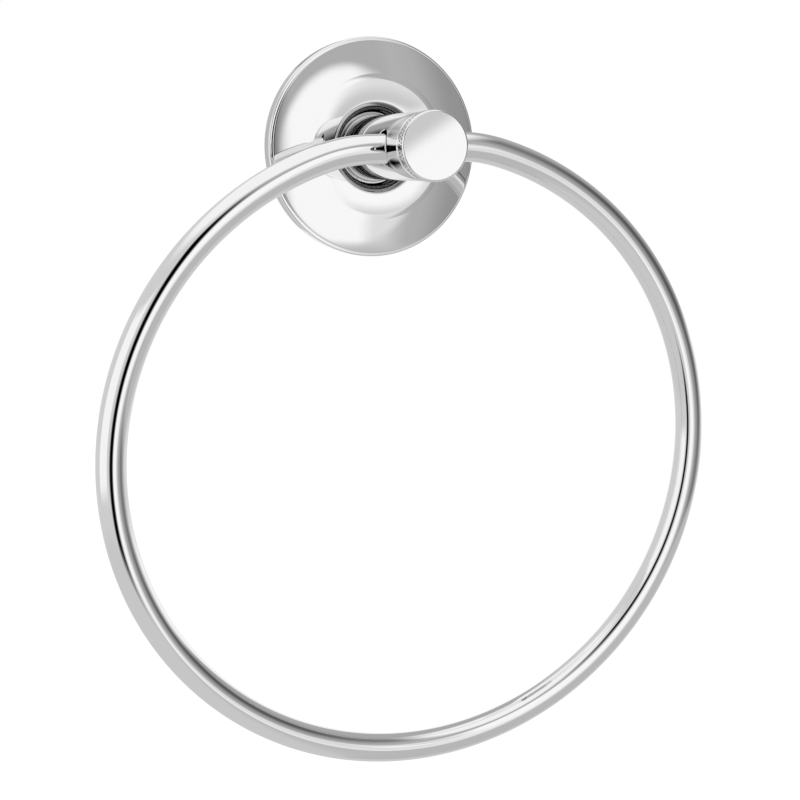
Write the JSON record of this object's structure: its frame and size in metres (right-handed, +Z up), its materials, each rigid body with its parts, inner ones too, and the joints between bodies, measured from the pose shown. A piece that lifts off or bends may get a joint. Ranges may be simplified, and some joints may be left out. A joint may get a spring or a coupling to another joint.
{
  "type": "towel ring",
  "caption": "Wall towel ring: a bent tube ring swings in the cross hole of a short post with a knurled end cap, on a round dished flange.",
  "frame": {"origin": "centre of the wall plate's back, in the plane of the wall, midway between its two screw holes", "axes": "+Z up, +X to the right seen from the room, -Y out of the wall along the post; the ring hangs straight down"},
  "size_m": [0.18, 0.0534, 0.206],
  "materials": {
    "chrome": "mirror polished chrome plate",
    "steel": "plain zinc-plated steel, hidden"
  },
  "bodies": {
    "base": {"flange": "chrome", "wall_plate": "steel", "spigot": "steel", "spigot_screw": "steel", "post": "chrome", "grub_screw": "steel", "cap": "chrome"},
    "towel_ring": {"ring": "chrome", "ring_pin": "steel"}
  },
  "joints": [
    {"name": "ring_swing", "type": "hinge", "parent": "base", "child": "towel_ring", "pos_m": [0, -0.0365, -0.00035], "axis": [-1, 0, 0], "range_deg": [-11, 191]}
  ]
}
